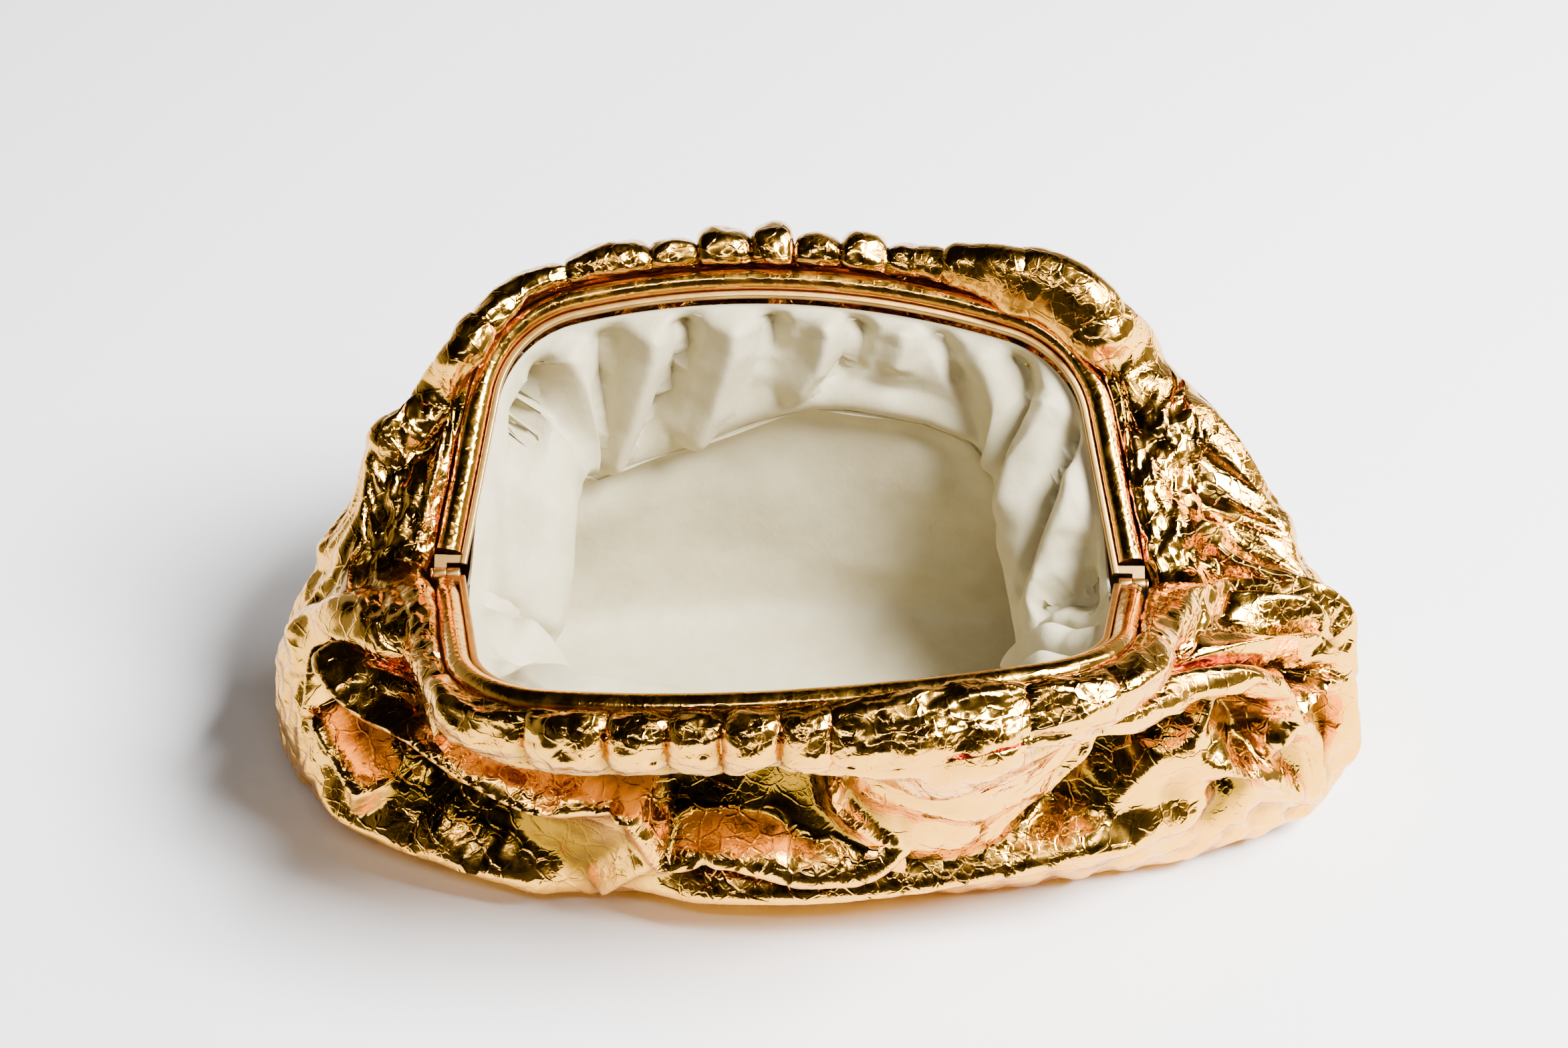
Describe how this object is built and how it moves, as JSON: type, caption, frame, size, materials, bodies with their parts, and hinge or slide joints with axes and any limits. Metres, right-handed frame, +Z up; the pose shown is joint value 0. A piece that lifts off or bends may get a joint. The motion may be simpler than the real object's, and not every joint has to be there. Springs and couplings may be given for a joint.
{
  "type": "frame pouch bag",
  "caption": "Large soft pouch bag of gathered metallic leather on a hinged frame, standing on its base with the mouth held open, lined in pale leather.",
  "frame": {"origin": "on the floor, under the middle of the bag's outline", "axes": "+Z up, the long way of the bag along X, the front of the bag towards -Y, so that the hinges lie at the -X and +X sides of the mouth"},
  "size_m": [0.416, 0.2617, 0.1795],
  "materials": {
    "gold_leather": "crinkled metallic foil, light gold",
    "lining_leather": "matte off-white, fine grain",
    "gilt_metal": "satin light gold"
  },
  "bodies": {
    "root": {"pouch_body": "gold_leather", "lining": "lining_leather", "frame_bar_back": "gold_leather", "frame_bar_front": "gold_leather", "frame_metal_back": "gilt_metal", "frame_metal_front": "gilt_metal", "hinge_pin_left": "gilt_metal", "hinge_pin_right": "gilt_metal"}
  },
  "joints": []
}
